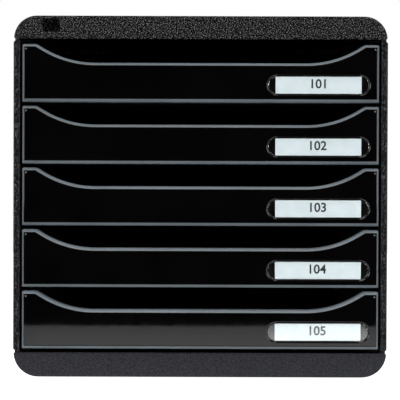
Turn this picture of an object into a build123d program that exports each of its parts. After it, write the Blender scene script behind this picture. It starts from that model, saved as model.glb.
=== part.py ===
from build123d import *
import os
from math import cos, radians, sin, tan

# Desktop drawer unit: a moulded case with five open-fronted drawers that slide on ledges.
# Millimetres. +Z is up, the drawers open towards -Y and +X is to the right of someone facing them.
# The origin lies on the desk, under the middle of the unit.

# Case shells
case_width = 279.0
case_depth = 346.0
cover_height = 17.05
base_height = 18.05
shell_wall = 2.4
cover_top_wall = 3.0
cover_corner = 17.2
base_corner = 18.2
shell_set_in = 0.4
shell_edge = 0.8
shell_rib_height = 4.0
shell_rib_thickness = 1.8
cross_rib_count = 3
long_rib_count = 2
stack_recess_depth = 0.8
stack_recess_from_side = 21.6
stack_recess_from_end = 12.0
stack_recess_corner = 10.0
patch_width = 12.6
patch_height = 9.0
patch_depth = 0.3
patch_from_side = 21.5
patch_from_top = 2.6

# Drawer bays
drawer_count = 5
gap_under_drawers = 2.8
gap_between_fronts = 2.8
gap_over_drawers = 4.0

# Side panels
panel_wall = 2.4
panel_edge = 1.4
joint_gap = 2.0
joint_depth = 1.2
stile_width = 4.9
stile_depth = 5.0
stile_inner_edge = 0.9
ledge_width = 9.5
ledge_thickness = 1.8
ledge_setback = 12.0
ledge_nose = 4.0
flange_width = 13.0
flange_setback = 2.0
flange_from_top = 0.8
stop_rib_thickness = 2.0
rail_rib = 3.0
rail_rib_thickness = 1.8

# Snap tongues that hold the side panels in the shells
tongue_count = 3
tongue_width = 14.0
tongue_thickness = 1.8
tongue_offset = 1.8
tongue_reach = 5.8
tongue_root = 5.0
tongue_inset = 45.0
catch_width = 8.0
catch_height = 1.9
catch_start = 2.3
catch_fit = 0.4

# Back panel
back_thickness = 2.0
back_fit = 0.2
back_tab_reach = 8.0
back_tab_inset = 20.0
back_bead_width = 3.0
back_bead_height = 0.8
back_bead_inset = 14.0

# Foot pads
foot_diameter = 14.0
foot_thickness = 3.2
foot_recess = 0.8
foot_fit = 0.2
foot_from_side = 31.0
foot_from_end = 30.0

# Drawers
front_height = 43.2
front_gap = 1.45
front_proud = 1.0
front_skin = 2.4
lip_depth = 8.0
lip_thickness = 2.0
bevel_side = 1.9
bevel_bottom = 2.5
bevel_top = 2.2
ear_width = 10.9
ear_round = 4.0
outer_round = 1.6
foot_round = 0.9
least_round = 0.3
scoop_depth = 13.8
scoop_slope = 31.0
scoop_radius = 75.0
tray_inset = 1.4
tray_wall = 2.0
tray_floor = 2.0
tray_drop = 2.2
tray_inner_round = 2.5
tray_inner_chamfer = 1.5
tray_rear_round = 3.0
rear_notch_depth = 7.0
rear_notch_inset = 16.0
rear_notch_round = 6.0
run_clearance = 0.2
rear_clearance = 0.3
drawer_travel = 250.0
stop_clearance = 0.3
stop_rib_gap = 0.7
lug_gap = 1.4
lug_crown = 4.0
lug_length = 10.0
lug_from_rear = 4.0

# Label holders
pocket_length = 75.4
pocket_height = 13.8
pocket_from_side = 7.7
pocket_from_bottom = 6.1
pocket_depth = 1.7
pocket_edge = 0.8
pocket_backing = 2.0
pocket_rim = 1.8
holder_fit = 0.3
holder_sunk = 0.3
card_end_border = 5.7
card_border = 0.6
card_thickness = 0.3
card_fit = 0.1

# Sizes that follow from those above
front_width = case_width - 2 * (stile_width + front_gap)
bay_pitch = front_height + gap_between_fronts
tray_height = front_height - tray_drop
room_over_tray = bay_pitch - run_clearance - ledge_thickness - tray_height
lug_height = room_over_tray - lug_gap
card_length = pocket_length - 2 * card_end_border
card_height = pocket_height - 2 * card_border

# Levels and planes that the pieces share
z_base_under = foot_thickness - foot_recess
z_base_top = z_base_under + base_height
side_height = gap_under_drawers + (drawer_count - 1) * bay_pitch + front_height + gap_over_drawers
z_side_top = z_base_top + side_height
z_top = z_side_top + cover_height
y_face = -(case_depth + front_proud) / 2
y_front = y_face + front_proud
y_back = y_front + case_depth
x_case = case_width / 2
x_panel = x_case - panel_wall
x_joint = x_case - joint_depth
x_root = (x_panel + x_joint) / 2
y_back_panel = y_back - shell_wall - back_fit - back_thickness
y_rear = y_back_panel - rear_clearance
x_tray = front_width / 2 - tray_inset
y_lug = y_rear - lug_from_rear - lug_length
y_stop = y_lug - drawer_travel - stop_clearance
label_x = front_width / 2 - pocket_from_side - pocket_length / 2
label_rise = pocket_from_bottom + pocket_height / 2


def drawer_level(row):
    """Height of the underside of a drawer's front, with row 0 at the bottom."""
    return z_base_top + gap_under_drawers + row * bay_pitch


def block(x0, x1, y0, y1, z0, z1):
    """A box between two corners."""
    middle = Pos((x0 + x1) / 2, (y0 + y1) / 2, (z0 + z1) / 2)
    return middle * Box(x1 - x0, y1 - y0, z1 - z0)


def upright(sketch, y):
    """Stands a sketch up at depth y: its x runs along +X and its y along +Z."""
    return Plane(origin=(0, y, 0), x_dir=(1, 0, 0), z_dir=(0, -1, 0)) * sketch


def prism(sketch, y0, y1):
    """Extrudes an upright sketch from depth y0 to depth y1."""
    return extrude(upright(sketch, y1), y1 - y0)


def spread(first, last, count):
    """Evenly spaced places from first to last."""
    return [first + (last - first) * i / (count - 1) for i in range(count)]


def band(width, height, corner):
    """Front view of a shell: a band whose two upper corners are rounded, standing on y = 0.
    A corner that is larger than the band is high ends where it meets the foot."""
    tall = Pos(0, (height - corner) / 2) * Rectangle(width, height + corner)
    rounded = fillet(tall.vertices().sort_by(Axis.Y)[-2:], corner)
    return rounded & Pos(0, height / 2) * Rectangle(width, height)


def hollow_shell(height, top_wall, corner):
    """A lid-shaped shell over the case's outline, open below, standing on z = 0."""
    outside = prism(band(case_width - 2 * shell_set_in, height, corner), y_front, y_back)
    ends = outside.faces().sort_by(Axis.Y)
    rims = ends[0].edges() + ends[-1].edges()
    lower = outside.faces().sort_by(Axis.Z)[0].edges().filter_by(Axis.Y)
    outside = chamfer(rims + lower, shell_edge)
    inner_width = case_width - 2 * shell_wall
    inner = band(inner_width, height - top_wall, corner - shell_wall)
    y0 = y_front + shell_wall
    y1 = y_back - shell_wall
    shell = outside - prism(inner, y0, y1)
    z1 = height - top_wall
    z0 = z1 - shell_rib_height
    half = shell_rib_thickness / 2
    rib_field = x_case - corner
    for x in spread(-rib_field / 2, rib_field / 2, long_rib_count):
        shell += block(x - half, x + half, y0, y1, z0, z1)
    for y in spread(y0, y1, cross_rib_count + 2)[1:-1]:
        shell += block(-rib_field, rib_field, y - half, y + half, z0, z1)
    for y in tongue_places():
        for side in (-1, 1):
            outer = side * (x_case - shell_wall / 2)
            tip = side * (x_panel - tongue_offset - tongue_thickness + catch_fit)
            low, high = sorted((outer, tip))
            reach = catch_start + catch_height
            shell += block(low, high, y - catch_width / 2, y + catch_width / 2, catch_start, reach)
    return shell


def tongue_places():
    """Depths of the snap tongues along a side panel."""
    return spread(y_front + tongue_inset, y_back - tongue_inset, tongue_count)


def top_cover():
    """The upper shell, with the shallow recess that locates a unit stacked on it."""
    shell = Pos(0, 0, z_side_top) * hollow_shell(cover_height, cover_top_wall, cover_corner)
    recess_width = case_width - 2 * stack_recess_from_side
    recess_length = case_depth - 2 * stack_recess_from_end
    recess = RectangleRounded(recess_width, recess_length, stack_recess_corner)
    middle = Pos(0, (y_front + y_back) / 2, z_top - stack_recess_depth)
    shell -= middle * extrude(recess, stack_recess_depth)
    patch_x = patch_from_side + patch_width / 2 - x_case
    patch_z = z_top - patch_from_top - patch_height / 2
    patch = Pos(patch_x, patch_z) * Rectangle(patch_width, patch_height)
    return shell - prism(patch, y_front, y_front + patch_depth)


def foot_places():
    """Centres of the foot pads, by name."""
    x = x_case - foot_from_side
    y0 = y_front + foot_from_end
    y1 = y_back - foot_from_end
    return {"front_left": (-x, y0), "front_right": (x, y0), "rear_left": (-x, y1), "rear_right": (x, y1)}


def base_shell():
    """The lower shell, open above, with a seat under each corner for a foot pad."""
    lid = hollow_shell(base_height, shell_wall, base_corner)
    shell = Pos(0, 0, z_base_top) * mirror(lid, about=Plane.XY)
    for x, y in foot_places().values():
        seat = Cylinder(foot_diameter / 2 + foot_fit, foot_recess)
        shell -= Pos(x, y, z_base_under + foot_recess / 2) * seat
    return shell


def foot_pad(x, y):
    """A round non-slip pad that stands on z = 0."""
    pad = Cylinder(foot_diameter / 2, foot_thickness)
    return Pos(x, y, foot_thickness / 2) * pad


def ledge(top, width, setback):
    """One runner ledge or flange of the right side panel, with its front corner rounded."""
    inner = x_panel - width
    y1 = y_back_panel - back_fit
    shelf = block(inner, x_root, y_front + setback, y1, top - ledge_thickness, top)
    corner = shelf.edges().filter_by(Axis.Z).sort_by(Axis.Y)[:2].sort_by(Axis.X)[0]
    return fillet(corner, ledge_nose)


def stop_rib(row, under):
    """The rib under a ledge that stops the lugs of the drawer below it, on the right side panel."""
    low = drawer_level(row) + tray_height + stop_rib_gap
    inner = x_panel - ledge_width
    return block(inner, x_root, y_stop - stop_rib_thickness, y_stop, low, under)


def tongue(y, upward):
    """A snap tongue of the right side panel with the window that its catch sits in."""
    outer = x_panel - tongue_offset
    inner = outer - tongue_thickness
    half = tongue_width / 2
    z = z_side_top if upward else z_base_top
    turn = 1 if upward else -1
    low, high = sorted((z - turn * tongue_root, z + turn * tongue_reach))
    blade = block(inner, outer, y - half, y + half, low, high)
    low, high = sorted((z - turn * tongue_root, z - turn * catch_fit))
    root = block(inner, x_root, y - half, y + half, low, high)
    half = catch_width / 2 + catch_fit
    near = z + turn * (catch_start - catch_fit)
    far = z + turn * (catch_start + catch_height + catch_fit)
    low, high = sorted((near, far))
    return blade + root - block(inner, outer, y - half, y + half, low, high)


def wall_with_stile(set_in, z0, z1):
    """The wall of the right side panel with its front stile, its outer skin taken in by set_in."""
    x1 = x_case - set_in
    y0 = y_front + set_in
    wall = block(x_panel, x1, y0, y_back - set_in, z0, z1)
    return wall + block(x_case - stile_width, x1, y0, y_front + stile_depth, z0, z1)


def side_panel():
    """The right side panel: wall, front stile, flanges, runner ledges with stops, back groove and tongues.
    Its skin stops short of the shells, which leaves a shadow joint above and below it."""
    panel = wall_with_stile(0, z_base_top + joint_gap, z_side_top - joint_gap)
    outer_rim = panel.faces().sort_by(Axis.X)[-1].edges()
    panel = fillet(outer_rim, panel_edge)
    inner_edge = panel.edges().filter_by(Axis.Z).group_by(Axis.Y)[0].sort_by(Axis.X)[0]
    panel = fillet(inner_edge, stile_inner_edge)
    panel += wall_with_stile(joint_depth, z_base_top, z_side_top)
    y_groove = y_back_panel + back_thickness + back_fit
    y_rib = y_back_panel - back_fit
    y_rib_front = y_rib - rail_rib_thickness
    panel += block(x_panel - rail_rib, x_root, y_groove, y_back - panel_edge, z_base_top, z_side_top)
    panel += block(x_panel - rail_rib, x_root, y_rib_front, y_rib, z_base_top, z_side_top)
    foot_flange_top = drawer_level(0) - run_clearance
    head_flange_top = z_side_top - flange_from_top
    panel += ledge(foot_flange_top, flange_width, flange_setback)
    panel += ledge(head_flange_top, flange_width, flange_setback)
    panel += stop_rib(drawer_count - 1, head_flange_top - ledge_thickness)
    for row in range(1, drawer_count):
        top = drawer_level(row) - run_clearance
        panel += ledge(top, ledge_width, ledge_setback)
        panel += stop_rib(row - 1, top - ledge_thickness)
    for y in tongue_places():
        panel += tongue(y, True)
        panel += tongue(y, False)
    return panel


def back_panel():
    """The slide-in back, with tabs behind the shells' rear walls and stiffening beads at each bay."""
    half = x_panel - 2 * back_fit
    tab = x_case - back_tab_inset
    y1 = y_back_panel + back_thickness
    panel = block(-half, half, y_back_panel, y1, z_base_top, z_side_top)
    panel += block(-tab, tab, y_back_panel, y1, z_base_top - back_tab_reach, z_side_top + back_tab_reach)
    for row in range(1, drawer_count):
        z = drawer_level(row) - gap_under_drawers / 2
        bead = Rectangle(2 * (half - back_bead_inset), back_bead_width)
        panel += prism(Pos(0, z) * bead, y1, y1 + back_bead_height)
    return panel


def front_outline(side, bottom, top):
    """Outline of a drawer front, taken in by a given amount at its sides, foot and upper edge.
    The scoop runs from each ear down a straight slope into an arc that ends level."""
    slope = radians(scoop_slope)
    x_side = front_width / 2 - side
    z_ear = front_height - top
    z_scoop = z_ear - scoop_depth
    radius = scoop_radius + top
    x_ear = front_width / 2 - ear_width + top * tan(slope / 2)
    z_tangent = z_scoop + radius * (1 - cos(slope))
    x_tangent = x_ear - (z_ear - z_tangent) / tan(slope)
    x_level = x_tangent - radius * sin(slope)
    x_mid = x_level + radius * sin(slope / 2)
    z_mid = z_scoop + radius * (1 - cos(slope / 2))
    right = [
        Line((0, bottom), (x_side, bottom)),
        Line((x_side, bottom), (x_side, z_ear)),
        Line((x_side, z_ear), (x_ear, z_ear)),
        Line((x_ear, z_ear), (x_tangent, z_tangent)),
        ThreePointArc((x_tangent, z_tangent), (x_mid, z_mid), (x_level, z_scoop)),
        Line((x_level, z_scoop), (0, z_scoop)),
        Line((0, z_scoop), (0, bottom)),
    ]
    half = make_face(right)
    whole = half + mirror(half, about=Plane.YZ)
    whole = Sketch() + whole.faces().sort_by(Axis.X)[0]
    corners = [
        (x_side, z_ear, max(outer_round - top, least_round)),
        (x_ear, z_ear, max(ear_round - top, least_round)),
        (x_side, bottom, max(foot_round - bottom, least_round)),
    ]
    for x, z, radius in corners:
        found = [v for v in whole.vertices() if abs(abs(v.X) - x) < 0.01 and abs(v.Y - z) < 0.01]
        whole = fillet(found, radius)
    return whole


def label_shape(grow):
    """The round-ended outline of the label holder, grown or shrunk all round."""
    return Pos(label_x, label_rise) * SlotOverall(pocket_length + 2 * grow, pocket_height + 2 * grow)


def drawer_front():
    """The bevelled front with the lip behind its edge and the label pocket."""
    face = upright(front_outline(bevel_side, bevel_bottom, bevel_top), y_face)
    full = front_outline(0, 0, 0)
    behind = upright(full, y_face + front_skin)
    front = loft([face.face(), behind.face()], ruled=True)
    front += prism(full, y_face + front_skin, y_face + lip_depth)
    inside = front_outline(tray_inset + tray_wall, tray_floor, lip_thickness)
    front -= prism(inside, y_face + front_skin, y_face + lip_depth)
    pocket_floor = y_face + pocket_depth
    backing = Rectangle(pocket_length + 2 * pocket_rim, pocket_height + 2 * pocket_rim)
    front += prism(Pos(label_x, label_rise) * backing, y_face + front_skin, pocket_floor + pocket_backing)
    front -= prism(label_shape(0), y_face, pocket_floor)
    mouth = front.faces().sort_by(Axis.Y)[0].inner_wires()[0].edges()
    return chamfer(mouth, pocket_edge)


def tray_body():
    """The open tray behind the front, with the stop lugs on its rear corners."""
    y0 = y_face + front_skin
    body = block(-x_tray, x_tray, y0, y_rear, 0, tray_height)
    body = fillet(body.faces().sort_by(Axis.Y)[-1].edges().filter_by(Axis.Z), tray_rear_round)
    x_inner = x_tray - tray_wall
    room = block(-x_inner, x_inner, y0, y_rear - tray_wall, tray_floor, 2 * tray_height)
    room = fillet(room.edges().filter_by(Axis.Z).group_by(Axis.Y)[-1], tray_inner_round)
    body -= chamfer(room.faces().sort_by(Axis.Z)[0].edges(), tray_inner_chamfer)
    notch_width = 2 * (x_inner - rear_notch_inset)
    notch = Pos(0, tray_height) * Rectangle(notch_width, 2 * rear_notch_depth)
    notch = fillet(notch.vertices().sort_by(Axis.Y)[:2], rear_notch_round)
    body -= prism(notch, y_rear - tray_wall - tray_inner_round, y_rear)
    for side in (-1, 1):
        outline = Polyline((y_lug, tray_height), (y_lug, tray_height + lug_height),
                           (y_lug + lug_crown, tray_height + lug_height),
                           (y_lug + lug_length, tray_height), close=True)
        lug = extrude(Plane.YZ * make_face(outline), tray_wall)
        body += Pos(x_inner if side > 0 else -x_tray, 0, 0) * lug
    return body


def label_holder():
    """The clear holder that snaps into the pocket and traps the card behind it."""
    back = y_face + pocket_depth
    shape = label_shape(-holder_fit)
    holder = prism(shape, y_face + holder_sunk, back)
    seat = Pos(label_x, label_rise) * Rectangle(card_length + 2 * card_fit, card_height + 2 * card_fit)
    return holder - prism(seat, back - card_thickness - card_fit, back)


def label_card():
    """The paper card behind the clear holder."""
    back = y_face + pocket_depth
    card = Pos(label_x, label_rise) * Rectangle(card_length, card_height)
    return prism(card, back - card_thickness, back)


def build():
    """All pieces at rest, by name. Drawer 1 is the uppermost."""
    right = side_panel()
    pieces = {
        "top_cover": top_cover(),
        "base_shell": base_shell(),
        "side_panel_right": right,
        "side_panel_left": mirror(right, about=Plane.YZ),
        "back_panel": back_panel(),
    }
    for name, (x, y) in foot_places().items():
        pieces["foot_pad_" + name] = foot_pad(x, y)
    drawer = {
        "tray": drawer_front() + tray_body(),
        "label_holder": label_holder(),
        "label_card": label_card(),
    }
    for number in range(1, drawer_count + 1):
        lift = Pos(0, 0, drawer_level(drawer_count - number))
        for name, piece in drawer.items():
            pieces[f"drawer_{number}_{name}"] = lift * piece
    return pieces


def main():
    os.makedirs("parts", exist_ok=True)
    for name, piece in build().items():
        export_step(piece, f"parts/{name}.step")


main()
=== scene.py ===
# %% [markdown]
# # A desktop drawer unit in gloss and grained black
# The moulded case, its five drawers, the cards and the clear windows were built as solids first.
# This lesson dresses them: it keeps the solids whose shape is already right and gives them a finish,
# and it makes smooth, rounded surfaces with numpy where a reader's eye goes, on drawers and windows.

import bmesh
import bpy
import numpy as np
from math import radians, tan
from mathutils import Matrix, Vector
from mathutils.geometry import tessellate_polygon


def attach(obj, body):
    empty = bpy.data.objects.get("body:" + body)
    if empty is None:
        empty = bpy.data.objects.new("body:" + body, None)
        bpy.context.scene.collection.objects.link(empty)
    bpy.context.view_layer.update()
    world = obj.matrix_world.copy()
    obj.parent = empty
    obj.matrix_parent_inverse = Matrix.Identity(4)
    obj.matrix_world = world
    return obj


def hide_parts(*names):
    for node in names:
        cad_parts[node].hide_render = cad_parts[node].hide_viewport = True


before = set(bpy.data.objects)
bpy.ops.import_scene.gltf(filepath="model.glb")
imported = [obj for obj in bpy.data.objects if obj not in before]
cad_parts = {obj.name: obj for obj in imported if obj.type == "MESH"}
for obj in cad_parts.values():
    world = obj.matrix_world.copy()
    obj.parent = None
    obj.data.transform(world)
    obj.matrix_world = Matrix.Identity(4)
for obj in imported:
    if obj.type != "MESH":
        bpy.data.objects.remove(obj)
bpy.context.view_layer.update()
scene = bpy.context.scene
scene.view_settings.view_transform = "Standard"

# %% [markdown]
# ## The camera
# A product picture of a box is taken from nearly a metre away with a long lens, so that its sides stay
# nearly parallel. The camera stands level with the middle of the unit, looks half a degree down and
# leans a fifth of a degree, as a camera on a tripod easily does.

# %% Camera
mm = 0.001
front_plane = -172.5
eye_aside = -0.25
eye_distance = 800.0
eye_height = 140.75
look_down = 0.443
lean = 0.195
sensor_width = 36.0
focal_length = 96.7

camera_data = bpy.data.cameras.new("camera")
camera_data.sensor_width = sensor_width
camera_data.lens = focal_length
camera = bpy.data.objects.new("camera", camera_data)
scene.collection.objects.link(camera)
stand = Matrix.Translation(Vector((eye_aside, front_plane - eye_distance, eye_height)) * mm)
tilt = Matrix.Rotation(radians(90 - look_down), 4, "X")
roll = Matrix.Rotation(radians(lean), 4, "Z")
camera.matrix_world = stand @ tilt @ roll
scene.camera = camera
print("camera", [round(v, 4) for v in camera.matrix_world.translation])

# %% [markdown]
# ## Finishes
# Black plastic is never one flat black. The case is spark-textured in the mould, so thousands of tiny
# facets catch the light, and here their glints are painted into its colour as light flecks. The drawer
# faces are polished and show what stands before them; the bevelled rims look grey, and that grey is
# painted sheen on the black plastic. Each finish below reads Object coordinates, so its grain keeps
# its size in millimetres on every piece, and the number that matters most is the size of that grain.

# %% Helpers for node materials
polished_tone_and_glints = 0.1


def new_material(name, kind="ShaderNodeBsdfPrincipled"):
    """A material with its output and one surface node of the given kind. Gives the material, its node
    tree and the surface node."""
    material = bpy.data.materials.new(name)
    material.use_nodes = True
    tree = material.node_tree
    tree.nodes.clear()
    output = tree.nodes.new("ShaderNodeOutputMaterial")
    surface = tree.nodes.new(kind)
    tree.links.new(surface.outputs[0], output.inputs["Surface"])
    return material, tree, surface


def noise_on(tree, size, detail=2.0):
    """Noise in Object coordinates whose blobs are about size millimetres across. Its value lies
    round 0.5, mostly between 0.3 and 0.7."""
    coordinates = tree.nodes.new("ShaderNodeTexCoord")
    noise = tree.nodes.new("ShaderNodeTexNoise")
    noise.inputs["Scale"].default_value = 1.0 / (size * mm)
    noise.inputs["Detail"].default_value = detail
    tree.links.new(coordinates.outputs["Object"], noise.inputs["Vector"])
    return noise.outputs["Fac"]


def spread_to(tree, source, low, high, start=0.3, stop=0.7, smooth=False):
    """Maps a value from start..stop to low..high, held at both ends, on a straight line or, if
    smooth, on a curve that starts and stops level."""
    ramp = tree.nodes.new("ShaderNodeMapRange")
    if smooth:
        ramp.interpolation_type = "SMOOTHSTEP"
    ramp.inputs["From Min"].default_value = start
    ramp.inputs["From Max"].default_value = stop
    ramp.inputs["To Min"].default_value = low
    ramp.inputs["To Max"].default_value = high
    tree.links.new(source, ramp.inputs["Value"])
    return ramp.outputs["Result"]


def tint(tree, source, dark, light):
    """Mixes two colours by a value from 0 to 1."""
    mix = tree.nodes.new("ShaderNodeMix")
    mix.data_type = "RGBA"
    mix.inputs["A"].default_value = (*dark, 1)
    mix.inputs["B"].default_value = (*light, 1)
    tree.links.new(source, mix.inputs["Factor"])
    return mix.outputs["Result"]


def bump_from(tree, source, surface, depth):
    """Raises the surface by up to depth millimetres where the value is high."""
    bump = tree.nodes.new("ShaderNodeBump")
    bump.inputs["Strength"].default_value = 1.0
    bump.inputs["Distance"].default_value = depth * mm
    tree.links.new(source, bump.inputs["Height"])
    tree.links.new(bump.outputs["Normal"], surface.inputs["Normal"])
    return bump


def arithmetic(tree, operation, *values, clamp=False):
    """One step of arithmetic on up to three values, each a number or another node's output. If
    clamp, the result is held between 0 and 1."""
    node = tree.nodes.new("ShaderNodeMath")
    node.operation = operation
    node.use_clamp = clamp
    for socket, value in zip(node.inputs, values):
        if isinstance(value, (int, float)):
            socket.default_value = value
        else:
            tree.links.new(value, socket)
    return node.outputs[0]


def inside_zone(tree, limits):
    """1 inside a zone of the object, else 0. limits holds an axis, a middle and a half width in
    millimetres for each direction in which the zone ends."""
    coordinates = tree.nodes.new("ShaderNodeTexCoord")
    split = tree.nodes.new("ShaderNodeSeparateXYZ")
    tree.links.new(coordinates.outputs["Object"], split.inputs["Vector"])
    zone = 1.0
    for axis, middle, half in limits:
        within = arithmetic(tree, "COMPARE", split.outputs[axis], middle * mm, half * mm)
        zone = arithmetic(tree, "MULTIPLY", within, zone)
    return zone


def plastic(name, dark, light, rough, grain, depth, cloud=40.0, gloss=0.5, contrast=(0.3, 0.7),
            zone=None):
    """Moulded plastic. grain is the size of its texture and depth its relief, both in millimetres;
    rough is the lowest and highest roughness, and cloud the size of the patches in its colour,
    which contrast makes soft or sharp. On most plastics these patches are faint tone; where they are
    sharp and light, as on the grained case, they are painted glints of its grain. gloss is how much
    the flat surface mirrors, where 0.5 is plain plastic. In a zone, if one is given, the piece is
    smooth and dark: it has no relief and mirrors nothing, and its patches are nearly gone."""
    material, tree, surface = new_material(name)
    surface.inputs["Specular IOR Level"].default_value = gloss
    tone_and_glints = spread_to(tree, noise_on(tree, cloud, 1.0), 0.0, 1.0, *contrast)
    texture = noise_on(tree, grain)
    tree.links.new(spread_to(tree, texture, *rough), surface.inputs["Roughness"])
    bump = bump_from(tree, texture, surface, depth)
    if zone is not None:
        left = arithmetic(tree, "SUBTRACT", 1.0, inside_zone(tree, zone))
        share = arithmetic(tree, "MULTIPLY_ADD", left, 1 - polished_tone_and_glints, polished_tone_and_glints)
        tone_and_glints = arithmetic(tree, "MULTIPLY", tone_and_glints, share)
        mirror = arithmetic(tree, "MULTIPLY", left, gloss)
        tree.links.new(left, bump.inputs["Strength"])
        tree.links.new(mirror, surface.inputs["Specular IOR Level"])
    tree.links.new(tint(tree, tone_and_glints, dark, light), surface.inputs["Base Color"])
    return material


def clear_plastic(name, colour, slant_index, rough, cloud):
    """A thin clear window: it lets light and shadow rays through, and on its outer side it mirrors
    more at a slant, by the Fresnel law for the given index."""
    material, tree, mix = new_material(name, "ShaderNodeMixShader")
    through = tree.nodes.new("ShaderNodeBsdfTransparent")
    through.inputs["Color"].default_value = (*colour, 1)
    gloss = tree.nodes.new("ShaderNodeBsdfAnisotropic")
    gloss.inputs["Color"].default_value = (1, 1, 1, 1)
    haze = spread_to(tree, noise_on(tree, cloud), *rough)
    tree.links.new(haze, gloss.inputs["Roughness"])
    slant = tree.nodes.new("ShaderNodeFresnel")
    slant.inputs["IOR"].default_value = slant_index
    side = tree.nodes.new("ShaderNodeNewGeometry").outputs["Backfacing"]
    mirror = arithmetic(tree, "SUBTRACT", slant.outputs["Fac"], side, clamp=True)
    tree.links.new(mirror, mix.inputs["Fac"])
    tree.links.new(through.outputs["BSDF"], mix.inputs[1])
    tree.links.new(gloss.outputs["BSDF"], mix.inputs[2])
    return material


print("material helpers ready")

# %% The plastics of the case and the drawers
bare_square = [("X", -111.3, 6.4), ("Y", -172.2, 1.0), ("Z", 264.3, 4.8)]
between_stiles = [("X", 0.0, 134.4)]

# Painted glints: the sharp light flecks in the colours of the cover and of the stiles stand in for
# light caught by the facets of their spark texture; inside the two zones they are nearly gone.
coarse_black_painted_glints = plastic(
    "coarse_black_painted_glints", (0.0005, 0.0005, 0.0005), (0.17, 0.17, 0.172), rough=(0.45, 0.60),
    grain=0.9, depth=0.6, cloud=0.85, gloss=0.04, contrast=(0.52, 0.72), zone=bare_square)
fine_black = plastic(
    "fine_black", (0.0069, 0.0071, 0.0091), (0.0236, 0.0241, 0.0286), rough=(0.42, 0.60),
    grain=0.9, depth=0.35, cloud=1.1, gloss=0.12)
side_black_painted_glints = plastic(
    "side_black_painted_glints", (0.0006, 0.0006, 0.0008), (0.113, 0.113, 0.124), rough=(0.30, 0.44),
    grain=0.9, depth=0.30, cloud=0.86, gloss=0.12, contrast=(0.55, 0.74), zone=between_stiles)
gloss_black = plastic(
    "gloss_black", (0.0009, 0.0007, 0.0008), (0.0016, 0.0013, 0.0014), rough=(0.03, 0.06),
    grain=9.0, depth=0.006)
# Painted sheen: the bevels, the lip and the pips are the same black moulding as the face; this
# grey-blue colour stands in for the light that they catch.
rim_painted_sheen = plastic(
    "rim_painted_sheen", (0.094, 0.112, 0.126), (0.118, 0.140, 0.157), rough=(0.32, 0.46),
    grain=0.5, depth=0.03)
tray_black = plastic(
    "tray_black", (0.006, 0.006, 0.007), (0.010, 0.010, 0.011), rough=(0.34, 0.52),
    grain=0.8, depth=0.04)
pocket_black = plastic(
    "pocket_black", (0.0012, 0.0012, 0.0013), (0.0022, 0.0022, 0.0023), rough=(0.55, 0.70),
    grain=0.6, depth=0.03, gloss=0.06)

case_plastics = (coarse_black_painted_glints, fine_black, side_black_painted_glints)
drawer_plastics = (gloss_black, rim_painted_sheen, tray_black, pocket_black)
GLOSS, RIM_PAINTED_SHEEN, TRAY, POCKET = range(4)
print("plastics:", [m.name for m in case_plastics + drawer_plastics])

# %% Paper, ink, rubber and clear plastic
paper = plastic(
    "paper", (0.79, 0.84, 0.87), (0.85, 0.895, 0.92), rough=(0.80, 0.92),
    grain=0.35, depth=0.02, cloud=6.0)
ink = plastic(
    "ink", (0.012, 0.012, 0.014), (0.022, 0.022, 0.024), rough=(0.55, 0.75),
    grain=0.4, depth=0.01, cloud=2.0)
rubber = plastic(
    "rubber", (0.018, 0.018, 0.018), (0.032, 0.032, 0.031), rough=(0.70, 0.88),
    grain=0.6, depth=0.05)
clear_window = clear_plastic(
    "clear_window", (0.97, 0.985, 0.985), slant_index=2.45, rough=(0.10, 0.14), cloud=5.0)
print("and", [m.name for m in (paper, ink, rubber, clear_window)])

# %% [markdown]
# ## The solids that keep their shape
# The cover, the base, the side panels, the back and the feet are prismatic mouldings, and their solids
# already carry the chamfers and fillets of the real pieces. They only need the right finish. The cover
# has the coarsest texture of all, which is why it glitters in the picture and the base below does not.
# Its glints, and those on the stiles of the side panels, are painted into the colour as light flecks.

# %% Finish the case
def dress(node, material):
    """Puts one material on every slot of a solid."""
    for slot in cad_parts[node].material_slots:
        slot.material = material


dress("top_cover", coarse_black_painted_glints)
for node in ("side_panel_left", "side_panel_right"):
    dress(node, side_black_painted_glints)
for node in ("base_shell", "back_panel"):
    dress(node, fine_black)
feet = [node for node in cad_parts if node.startswith("foot_pad")]
for node in feet:
    dress(node, rubber)
print("case dressed, with", len(feet), "feet")

# %% [markdown]
# ## Surfaces from rings
# Every new piece here is a stack of rings. A ring is an outline with a fixed number of points, so the
# first point of one ring belongs to the first point of the next, and joining them gives a grid of
# four-sided faces. A few key rings set the shape, as the bends of a profile do, and the function
# below softens each bend, because a moulded edge is never sharp and the thin light along it is what
# makes plastic look like plastic.

# %% Ring helpers
longest_reach = 0.45
weld_reach = 0.002


def arc(x, z, radius, start, stop, count):
    """Points on a circle: centre plus radius times (cos a, sin a), a from start to stop in degrees."""
    a = np.radians(np.linspace(start, stop, count))
    return np.column_stack([x + radius * np.cos(a), z + radius * np.sin(a)])


def at_depth(outline, y):
    """Stands an outline of (x, z) points up at depth y."""
    return np.column_stack([outline[:, 0], np.full(len(outline), y), outline[:, 1]])


def soften(keys, radii, steps):
    """Rounds each inner key ring of a stack. At a bend B between neighbours A and C, the new rings lie
    at (1-s)^2 P + 2 s (1-s) B + s^2 Q, for s from 0 to 1, with P and Q on the legs BA and BC. They
    lie at the given radius from B, or nearer where a leg is short."""
    rings = [keys[0]]
    s = np.linspace(0, 1, steps + 1)[:, None, None]
    for before, bend, after, radius in zip(keys[:-2], keys[1:-1], keys[2:], radii):
        legs = []
        for end in (before, after):
            leg = end - bend
            length = np.linalg.norm(leg, axis=1, keepdims=True)
            reach = np.minimum(radius, longest_reach * length)
            legs.append(bend + leg * reach / np.maximum(length, 1e-9))
        rings.extend((1 - s) ** 2 * legs[0] + 2 * s * (1 - s) * bend + s ** 2 * legs[1])
    rings.append(keys[-1])
    return np.array(rings)


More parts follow.
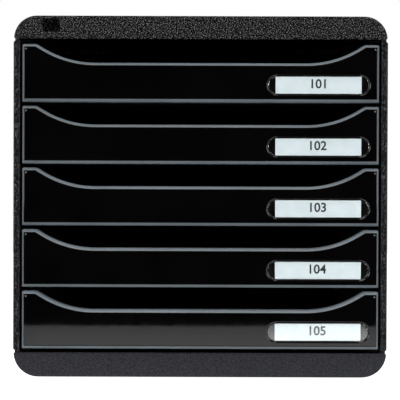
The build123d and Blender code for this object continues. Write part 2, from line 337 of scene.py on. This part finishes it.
def bend_rows(number, steps):
    """The rows of faces in one softened bend of a stack, of which the first is number 1. Row 0 lies
    before it, and one row lies between each bend and the next."""
    first = 1 + (number - 1) * (steps + 1)
    return slice(first, first + steps)


def quads(count, around, inward=False):
    """Faces of a stack of closed rings: point j of ring i with its neighbours in ring i + 1."""
    i = np.arange(count - 1)[:, None] * around
    j = np.arange(around)[None, :]
    k = (j + 1) % around
    corners = (i + j, i + around + j, i + around + k, i + k)
    faces = np.stack(corners, axis=-1).reshape(-1, 4)
    return faces[:, ::-1] if inward else faces


def cap(loops, towards):
    """Triangles that fill a flat outline, less any holes in it, facing the given way. The indices
    count through all loops in order."""
    triangles = np.array(tessellate_polygon([[Vector(p) for p in loop] for loop in loops]))
    points = np.vstack(loops)
    a, b, c = (points[triangles[:, n]] for n in range(3))
    facing = np.cross(b - a, c - a) @ np.array(towards, float)
    triangles[facing < 0] = triangles[facing < 0][:, ::-1]
    return triangles


def weld(mesh):
    """Merges points closer than the weld's reach and removes what has no area left."""
    work = bmesh.new()
    work.from_mesh(mesh)
    bmesh.ops.remove_doubles(work, verts=work.verts, dist=weld_reach * mm)
    bmesh.ops.dissolve_degenerate(work, edges=work.edges, dist=weld_reach * mm)
    work.to_mesh(mesh)
    work.free()


def area_normals(mesh):
    """Vertex normals as the mean of the face normals round each point, weighed by area, so that the
    large flats stay flat and only the soft edges between them turn."""
    mesh.polygons.foreach_set("use_smooth", np.ones(len(mesh.polygons), bool))
    loops = np.zeros(len(mesh.loops), np.int32)
    mesh.loops.foreach_get("vertex_index", loops)
    totals = np.zeros(len(mesh.polygons), np.int32)
    mesh.polygons.foreach_get("loop_total", totals)
    areas = np.zeros(len(mesh.polygons))
    mesh.polygons.foreach_get("area", areas)
    facing = np.zeros(len(mesh.polygons) * 3)
    mesh.polygons.foreach_get("normal", facing)
    weighed = facing.reshape(-1, 3) * areas[:, None]
    normals = np.zeros((len(mesh.vertices), 3))
    np.add.at(normals, loops, np.repeat(weighed, totals, axis=0))
    normals /= np.maximum(np.linalg.norm(normals, axis=1, keepdims=True), 1e-12)
    mesh.normals_split_custom_set_from_vertices(normals)


class Piece:
    """Gathers rings, caps and the number of the material that each takes."""

    def __init__(self):
        self.points, self.faces, self.slots, self.size = [], [], [], 0

    def add(self, points, faces, slot=0):
        """Adds points with their faces. slot is one number, or one for each face."""
        self.points.append(points.reshape(-1, 3))
        self.faces.extend((np.asarray(faces) + self.size).tolist())
        self.slots.extend(np.broadcast_to(slot, len(faces)).tolist())
        self.size += len(self.points[-1])

    def stack(self, rings, slot=0, inward=False):
        """Adds a stack of closed rings. slot is one number, or a table with a row for each step
        between rings and a column for each face round them."""
        around = rings.shape[1]
        each = np.broadcast_to(slot, (len(rings) - 1, around)).ravel()
        self.add(rings, quads(len(rings), around, inward), each)

    def finish(self, name, materials, lift):
        """Makes the object, raised by lift, with its seams merged and its normals weighed by area."""
        points = (np.vstack(self.points) + (0, 0, lift)) * mm
        mesh = bpy.data.meshes.new(name)
        mesh.from_pydata(points, [], self.faces)
        for material in materials:
            mesh.materials.append(material)
        mesh.polygons.foreach_set("material_index", np.array(self.slots, np.int32))
        mesh.validate()
        weld(mesh)
        area_normals(mesh)
        piece = bpy.data.objects.new(name, mesh)
        scene.collection.objects.link(piece)
        return piece


print("ring helpers ready")

# %% [markdown]
# ## The outline of a drawer front
# Seen from the front, each drawer is a low panel with two raised ears and a long scoop for the fingers
# between them. From the ear the edge runs down a straight slope into a wide arc that ends level. The
# same function gives the outline at any inset, always with the same number of points, so the face, the
# bevel and the lip behind it can be joined point by point.

# %% Front outline
front_width = 266.3
front_height = 43.2
ear_width = 10.9
scoop_depth = 13.8
scoop_slope = 31.0
scoop_radius = 75.0
ear_round, outer_round, foot_round, least_round = 4.0, 1.6, 0.9, 0.3
foot_points, outer_points, ear_points, scoop_points = 7, 9, 9, 25


def front_outline(side, foot, top):
    """The front's outline, taken in at its sides, foot and upper edge: corner arcs, the ear's shoulder
    and the scoop's arc for the right half, then the same mirrored, in one closed loop of (x, z)."""
    slope = radians(scoop_slope)
    x_side = front_width / 2 - side
    z_ear = front_height - top
    z_scoop = z_ear - scoop_depth
    radius = scoop_radius + top
    x_ear = front_width / 2 - ear_width + top * tan(slope / 2)
    z_tangent = z_scoop + radius * (1 - np.cos(slope))
    x_level = x_ear - (z_ear - z_tangent) / tan(slope) - radius * np.sin(slope)
    foot_r = max(foot_round - foot, least_round)
    outer_r = max(outer_round - top, least_round)
    ear_r = max(ear_round - top, least_round)
    shoulder = x_ear + ear_r * tan(slope / 2)
    half = np.vstack([
        arc(x_side - foot_r, foot + foot_r, foot_r, -90, 0, foot_points),
        arc(x_side - outer_r, z_ear - outer_r, outer_r, 0, 90, outer_points),
        arc(shoulder, z_ear - ear_r, ear_r, 90, 90 + scoop_slope, ear_points),
        arc(x_level, z_scoop + radius, radius, scoop_slope - 90, -90, scoop_points),
    ])
    return np.vstack([half, half[::-1] * (-1, 1)])


outline = front_outline(0, 0, 0)
print("outline:", len(outline), "points,", outline.min(0).round(2), "to", outline.max(0).round(2))

# %% [markdown]
# ## One drawer: the moulded front
# The front's profile goes from the polished face over a bevel to the outer edge, back along a lip and
# round into the hollow behind the face. Carried along the outline it gives the whole front at once.
# The label pocket is a second, smaller stack whose walls face inwards.

# %% Front of a drawer
y_face = -173.5
front_skin = 2.4
lip_depth = 8.0
bevel_side, bevel_foot, bevel_top = 1.9, 2.5, 2.2
face_margin = 0.6
front_softness = (0.35, 0.8, 0.3, 0.3)
front_steps = 4
tray_inset, tray_wall, tray_floor, lip_thickness = 1.4, 2.0, 2.0, 2.0
label_x, label_rise = 87.75, 13.0
pocket_length, pocket_height, pocket_depth, pocket_edge = 75.4, 13.8, 1.7, 0.8
mouth_margin, bottom_margin = 0.5, 0.6
pocket_softness = (0.4, 0.35, 0.25)
pocket_end_points = 17
pip_radius, pip_crown, pip_from_side, pip_from_top = 0.55, 0.12, 3.4, 3.8
pip_points, pip_rings = 16, 6


def capsule(grow):
    """The label pocket's round-ended outline, grown all round: two half circles about its centre."""
    radius = pocket_height / 2 + grow
    reach = (pocket_length - pocket_height) / 2
    right = arc(label_x + reach, label_rise, radius, -90, 90, pocket_end_points)
    left = arc(label_x - reach, label_rise, radius, 90, 270, pocket_end_points)
    return np.vstack([right, left])


def front_rings():
    """The stack of the front's profile, and its table of materials: the face is polished but for the
    line along its foot, the bevel and lip take the rim's painted sheen, a grey on the black plastic
    that stands in for the light they catch, and what lies behind is tray black."""
    inside = front_outline(tray_inset + tray_wall, tray_floor, lip_thickness)
    inner_face = front_outline(
        bevel_side + face_margin, bevel_foot + face_margin, bevel_top + face_margin)
    keys = [
        at_depth(inner_face, y_face),
        at_depth(front_outline(bevel_side, bevel_foot, bevel_top), y_face),
        at_depth(front_outline(0, 0, 0), y_face + front_skin),
        at_depth(front_outline(0, 0, 0), y_face + lip_depth),
        at_depth(inside, y_face + lip_depth),
        at_depth(inside, y_face + front_skin),
    ]
    rings = soften(keys, front_softness, front_steps)
    around = rings.shape[1]
    foot_line = around - 1
    sides = (foot_points - 1, around - foot_points - 1)
    face_edge, outer_edge = bend_rows(1, front_steps), bend_rows(2, front_steps)
    slots = np.full((len(rings) - 1, around), TRAY)
    slots[: face_edge.stop] = GLOSS
    slots[face_edge, foot_line] = POCKET
    # Painted sheen: the bevel, the outer edge and the lip are coloured grey for the light they catch.
    slots[face_edge.stop: outer_edge.stop + 1] = RIM_PAINTED_SHEEN
    slots[outer_edge, sides] = TRAY
    return rings, slots


def pocket_rings():
    """The stack of the label pocket, from the face inwards, and its table of materials: polished at
    the round ends, and dull along the edges of the two straights."""
    keys = [
        at_depth(capsule(pocket_edge + mouth_margin), y_face),
        at_depth(capsule(pocket_edge), y_face),
        at_depth(capsule(0), y_face + pocket_edge),
        at_depth(capsule(0), y_face + pocket_depth),
        at_depth(capsule(-bottom_margin), y_face + pocket_depth),
    ]
    rings = soften(keys, pocket_softness, front_steps)
    around = rings.shape[1]
    straights = (around // 2 - 1, around - 1)
    mouth, slope_foot = bend_rows(1, front_steps), bend_rows(2, front_steps)
    slots = np.full((len(rings) - 1, around), GLOSS)
    slots[mouth.start + 1: slope_foot.stop, straights] = POCKET
    return rings, slots


def add_pip(piece, x, z):
    """A tiny raised dome in an ear's corner, coloured with the rim's painted sheen so that it shows as
    a grey highlight dot: circles of radius r sin t at height h cos t, with t from 0 at its crown to a
    right angle at its foot."""
    last = 360 - 360 / pip_points
    rings = []
    for t in np.linspace(0, np.pi / 2, pip_rings):
        circle = arc(x, z, pip_radius * np.sin(t), 0, last, pip_points)
        rings.append(at_depth(circle, y_face - pip_crown * np.cos(t)))
    piece.stack(np.array(rings), RIM_PAINTED_SHEEN)


def add_front(piece):
    """The bevelled face, its lip and the label pocket in one closed skin, and a pip in each ear."""
    rings, slots = front_rings()
    piece.stack(rings, slots)
    pocket, pocket_slots = pocket_rings()
    piece.stack(pocket, pocket_slots, inward=True)
    piece.add(pocket[-1], cap([pocket[-1]], (0, -1, 0)), GLOSS)
    face = [rings[0], pocket[0]]
    piece.add(np.vstack(face), cap(face, (0, -1, 0)), GLOSS)
    piece.add(rings[-1], cap([rings[-1]], (0, 1, 0)), TRAY)
    for side in (-1, 1):
        add_pip(piece, side * (front_width / 2 - pip_from_side), front_height - pip_from_top)


print("front:", len(front_rings()[0]), "rings, and", len(pocket_rings()[0]), "for its label pocket")

# %% [markdown]
# ## One drawer: the tray
# Behind the front lies an open tray. It is one stack too, but its rings lie flat and climb: up the
# outside of the wall, over its rim and down the inside to the floor. The wall's height changes along
# the way round, which gives the thumb notch in the rear wall and the two lugs that stop the drawer.

# %% Tray of a drawer
x_tray = 131.75
y_rear = 168.6
tray_height = 41.0
tray_overlap = 0.05
tray_rear_round, tray_inner_round, tray_floor_round, tray_inner_chamfer = 3.0, 2.5, 2.0, 1.5
sole_inset = 1.5
notch_inset, notch_depth, notch_round = 16.0, 7.0, 6.0
lug_start, lug_length, lug_crown, lug_height = 154.6, 10.0, 4.0, 1.6
tray_round_points = 9
tray_softness = (0.5, 0.4, 0.4, 0.8)
tray_steps = 3


def tray_way(wall, corner):
    """The way round the tray at a distance inside its outer wall, as columns x, y and height: up the
    right side with its lug, round the rear corner, along the notch and back down the left side."""
    x, y = x_tray - wall, y_rear - wall
    y_start = y_face + lip_depth - tray_overlap
    bend = arc(x - corner, y - corner, corner, 0, 90, tray_round_points)
    notch_x = x_tray - tray_wall - notch_inset
    notch_z = tray_height - notch_depth + notch_round
    dip = arc(notch_x - notch_round, notch_z, notch_round, 0, -90, tray_round_points)
    top = tray_height
    raised = top + lug_height
    side = [(x, y_start, 0), (x, y_start, top), (x, lug_start, top), (x, lug_start, raised),
            (x, lug_start + lug_crown, raised), (x, lug_start + lug_length, top)]
    rear = [(notch_x, y, top)] + [(a, y, h) for a, h in dip]
    right = np.vstack([side, np.column_stack([bend, np.full(len(bend), top)]), rear])
    return np.vstack([right, right[::-1] * (-1, 1, 1)])


def ring(way, height):
    """Lays a way round the tray at a height, given as one number or one for each point."""
    return np.column_stack([way[:, :2], np.broadcast_to(height, len(way))])


def add_tray(piece):
    """The tray's floor and walls: rings at the sole, up the outside, over the rim and down inside.
    Where the wall's height is 0, at the front, the rings only climb to the floor."""
    outer = tray_way(0, tray_rear_round)
    inner = tray_way(tray_wall, tray_inner_round)
    front = outer[:, 2] == 0
    keys = [
        ring(tray_way(sole_inset, tray_floor_round), 0),
        ring(outer, 0),
        ring(outer, np.where(front, tray_floor, outer[:, 2])),
        ring(inner, np.where(front, tray_floor, inner[:, 2])),
        ring(inner, np.where(front, tray_floor, tray_floor + tray_inner_chamfer)),
        ring(tray_way(tray_wall + tray_inner_chamfer, tray_floor_round), tray_floor),
    ]
    rings = soften(keys, tray_softness, tray_steps)
    piece.stack(rings, TRAY, inward=True)
    piece.add(rings[0], cap([rings[0]], (0, 0, -1)), TRAY)
    piece.add(rings[-1], cap([rings[-1]], (0, 0, 1)), TRAY)


print("tray:", len(tray_way(0, tray_rear_round)), "points on each way round")

# %% All five drawers
drawer_count = 5
lowest_level = 23.25
bay_pitch = 46.0


def level(number):
    """Height of a drawer's underside: number 1 is the uppermost of the five."""
    return lowest_level + bay_pitch * (drawer_count - number)


for number in range(1, drawer_count + 1):
    piece = Piece()
    add_front(piece)
    add_tray(piece)
    drawer = piece.finish(f"drawer_{number}_moulding", drawer_plastics, level(number))
    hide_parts(f"drawer_{number}_tray")
    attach(drawer, f"drawer_{number}")
print("drawer:", len(drawer.data.vertices), "points,", len(drawer.data.polygons), "faces")

# %% [markdown]
# ## The clear windows
# A clear moulding snaps into each pocket and traps the card. Its rounded edge bends the light of the
# side lamps into a thin white arc at each end, so the edge is what has to be modelled well.

# %% Label windows
holder_fit, holder_sunk = 0.3, 0.3
window_margin = 1.6
window_softness = (0.4,)
window_steps = 6
card_length, card_height, card_thickness, card_fit = 64.0, 12.6, 0.3, 0.1


def seat_outline():
    """The rectangle behind which the card lies, with room to spare all round."""
    x = card_length / 2 + card_fit
    z = card_height / 2 + card_fit
    return np.array([(x, -z), (x, z), (-x, z), (-x, -z)]) + (label_x, label_rise)


def label_window(number):
    """A round-ended block with a soft front edge and a shallow seat for the card in its back."""
    back = y_face + pocket_depth
    keys = [
        at_depth(capsule(-holder_fit - window_margin), y_face + holder_sunk),
        at_depth(capsule(-holder_fit), y_face + holder_sunk),
        at_depth(capsule(-holder_fit), back),
    ]
    rings = soften(keys, window_softness, window_steps)
    piece = Piece()
    piece.stack(rings)
    piece.add(rings[0], cap([rings[0]], (0, -1, 0)))
    seat = at_depth(seat_outline(), back)
    ceiling = at_depth(seat_outline(), back - card_thickness - card_fit)
    piece.stack(np.array([ceiling, seat]), inward=True)
    rim = [rings[-1], seat]
    piece.add(np.vstack(rim), cap(rim, (0, 1, 0)))
    piece.add(ceiling, cap([ceiling], (0, 1, 0)))
    return piece.finish(f"drawer_{number}_window", (clear_window,), level(number))


for number in range(1, drawer_count + 1):
    window = label_window(number)
    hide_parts(f"drawer_{number}_label_holder")
    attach(window, f"drawer_{number}")
print("window:", len(window.data.polygons), "faces")

# %% [markdown]
# ## Cards and numbers
# The cards are plain paper solids. What is printed on them is only a number, made as text, turned into
# a mesh, scaled to the height of print on such a card and laid just over the paper.

# %% Cards and numbers
first_number = 101
number_height = 7.0
number_rise = 1.1
stroke_growth = 0.020
curve_steps = 12
ink_lift = 0.03
ink_plane = y_face + pocket_depth - card_thickness - ink_lift


def printed_number(number):
    """A drawer's number as a flat mesh: its own x and y become x and z on the card, a little above
    the card's middle."""
    curve = bpy.data.curves.new("number", "FONT")
    curve.body = str(first_number + number - 1)
    curve.offset = stroke_growth
    curve.resolution_u = curve_steps
    text = bpy.data.objects.new("number", curve)
    scene.collection.objects.link(text)
    bpy.context.view_layer.update()
    mesh = bpy.data.meshes.new_from_object(text)
    bpy.data.objects.remove(text)
    flat = np.zeros(len(mesh.vertices) * 3)
    mesh.vertices.foreach_get("co", flat)
    flat = flat.reshape(-1, 3)
    low, high = flat.min(0), flat.max(0)
    flat = (flat - (low + high) / 2) * number_height / (high[1] - low[1])
    x = flat[:, 0] + label_x
    z = flat[:, 1] + level(number) + label_rise + number_rise
    placed = np.column_stack([x, np.full(len(flat), ink_plane), z])
    mesh.vertices.foreach_set("co", (placed * mm).ravel())
    mesh.update()
    return mesh


for number in range(1, drawer_count + 1):
    dress(f"drawer_{number}_label_card", paper)
    mesh = printed_number(number)
    mesh.materials.clear()
    mesh.materials.append(ink)
    printed = bpy.data.objects.new(f"drawer_{number}_number", mesh)
    scene.collection.objects.link(printed)
    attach(printed, f"drawer_{number}")
print("numbers printed:", drawer_count)

# %% [markdown]
# ## Floor, background and light
# The unit stands on a white table whose front edge is a third of a metre before it. Behind the camera
# the room is dark, and that is why the polished faces look black, and why only the lowest one, which
# mirrors the table, is grey. Two large soft lamps at the sides light the rims and the grain.

# %% Floor
floor_front, floor_back, floor_side = -499.0, 1500.0, 1500.0
floor_in_mirrors = 0.41
floor_glow = 1.3
corners = [(-floor_side, floor_front, 0), (floor_side, floor_front, 0), (floor_side, floor_back, 0),
           (-floor_side, floor_back, 0)]
floor_mesh = bpy.data.meshes.new("floor")
floor_mesh.from_pydata(np.array(corners) * mm, [], [(0, 1, 2, 3)])
floor = bpy.data.objects.new("floor", floor_mesh)
scene.collection.objects.link(floor)

floor_paint, tree, surface = new_material("floor_white")
surface.inputs["Roughness"].default_value = 0.9
surface.inputs["Specular IOR Level"].default_value = 0.0
fleck = spread_to(tree, noise_on(tree, 60.0), 0.0, 1.0)
floor_colour = tint(tree, fleck, (0.74, 0.74, 0.74), (0.77, 0.77, 0.77))
tree.links.new(floor_colour, surface.inputs["Base Color"])
rays = tree.nodes.new("ShaderNodeLightPath").outputs
coordinates = tree.nodes.new("ShaderNodeTexCoord")
along = tree.nodes.new("ShaderNodeSeparateXYZ")
tree.links.new(coordinates.outputs["Object"], along.inputs["Vector"])
nearness = spread_to(tree, along.outputs["Y"], 0.0, floor_glow, start=-0.215, stop=-0.18)
fading = spread_to(tree, along.outputs["Y"], 0.0, floor_in_mirrors, start=-0.50, stop=-0.39)
left_end = spread_to(tree, along.outputs["X"], 0.35, 1.0, start=-0.172, stop=-0.150)
in_mirrors = arithmetic(tree, "MULTIPLY", fading, left_end)
mirrored = arithmetic(tree, "MULTIPLY", rays["Is Glossy Ray"], in_mirrors)
bounced = arithmetic(tree, "MULTIPLY", rays["Is Diffuse Ray"], nearness)
unseen = arithmetic(tree, "ADD", mirrored, bounced)
white = arithmetic(tree, "MAXIMUM", rays["Is Camera Ray"], unseen)
surface.inputs["Emission Color"].default_value = (1, 1, 1, 1)
tree.links.new(white, surface.inputs["Emission Strength"])
floor_mesh.materials.append(floor_paint)
print("floor from", floor_front, "to", floor_back)

# %% World
world = bpy.data.worlds.new("studio")
scene.world = world
world.use_nodes = True
tree = world.node_tree
tree.nodes.clear()
output = tree.nodes.new("ShaderNodeOutputWorld")
background = tree.nodes.new("ShaderNodeBackground")
tree.links.new(background.outputs["Background"], output.inputs["Surface"])
background.inputs["Color"].default_value = (1, 1, 1, 1)
coordinates = tree.nodes.new("ShaderNodeTexCoord")
split = tree.nodes.new("ShaderNodeSeparateXYZ")
tree.links.new(coordinates.outputs["Generated"], split.inputs["Vector"])
rearward = split.outputs["Y"]

room_sides = spread_to(tree, rearward, 0.006, 0.34, start=-0.90, stop=-0.40, smooth=True)
room_rear = spread_to(tree, rearward, 0.0, 0.26, start=0.0, stop=0.5, smooth=True)
room_light = arithmetic(tree, "ADD", room_sides, room_rear)
rays = tree.nodes.new("ShaderNodeLightPath").outputs
mirrored = arithmetic(tree, "ADD", rays["Is Glossy Ray"], rays["Is Transmission Ray"])
behind = spread_to(tree, rearward, 0.0, 1.0, start=0.1, stop=0.5, smooth=True)
backdrop = arithmetic(tree, "MULTIPLY", mirrored, behind)
shown = arithmetic(tree, "MAXIMUM", rays["Is Camera Ray"], backdrop)
strength = arithmetic(tree, "MAXIMUM", room_light, shown)
tree.links.new(strength, background.inputs["Strength"])
print("world: soft room, dark behind the camera, white backdrop")


# %% Lamps
def soft_lamp(name, place, aim, width, height, power):
    """A rectangular soft lamp at a place, turned to face a point."""
    data = bpy.data.lights.new(name, "AREA")
    data.shape = "RECTANGLE"
    data.size, data.size_y = width, height
    data.energy = power
    lamp = bpy.data.objects.new(name, data)
    lamp.location = place
    lamp.rotation_euler = (Vector(aim) - Vector(place)).to_track_quat("-Z", "Y").to_euler()
    lamp.visible_camera = False
    scene.collection.objects.link(lamp)


for name, side in (("lamp_left", -1.25), ("lamp_right", 1.25)):
    soft_lamp(name, (side, -1.15, 0.55), aim=(0, -0.17, 0.14), width=0.6, height=0.9, power=20)
soft_lamp("lamp_above", (0.0, -0.5, 1.6), aim=(0, -0.1, 0.2), width=1.4, height=0.8, power=12)
